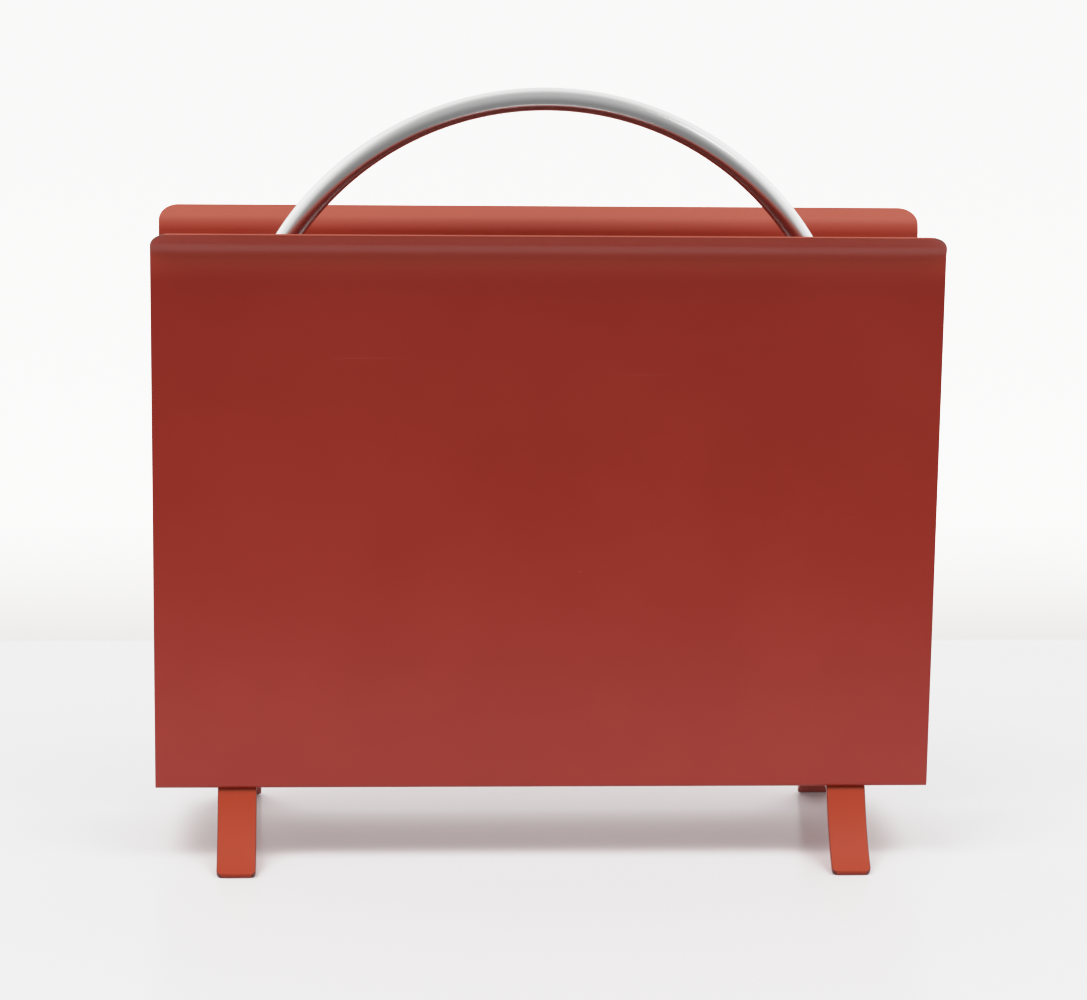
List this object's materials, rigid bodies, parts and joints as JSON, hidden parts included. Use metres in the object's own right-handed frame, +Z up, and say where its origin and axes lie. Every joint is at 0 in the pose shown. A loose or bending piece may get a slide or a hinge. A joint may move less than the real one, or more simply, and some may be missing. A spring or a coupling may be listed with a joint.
{
  "type": "magazine rack",
  "caption": "Free-standing rack for magazines and newspapers: a folded sheet trough with flared lips on splayed strip feet, with an arched tube handle.",
  "frame": {"origin": "on the table, under the middle of the rack's outer box", "axes": "+X along the width, +Y to the back, +Z up"},
  "size_m": [0.4, 0.1492, 0.3965],
  "materials": {
    "sheet_enamel": "semi-gloss stoved enamel",
    "foot_enamel": "semi-gloss stoved enamel",
    "tube_satin": "satin polished",
    "plug_steel": "turned",
    "zinc": "bright zinc plated",
    "rivet_enamel": "painted with the trough"
  },
  "bodies": {
    "root": {"trough": "sheet_enamel", "foot_left": "foot_enamel", "foot_right": "foot_enamel", "handle_tube": "tube_satin", "plug_left": "plug_steel", "plug_right": "plug_steel", "washer_left": "zinc", "washer_right": "zinc", "screw_left": "zinc", "screw_right": "zinc", "rivets_left": "rivet_enamel", "rivets_right": "rivet_enamel"}
  },
  "joints": []
}
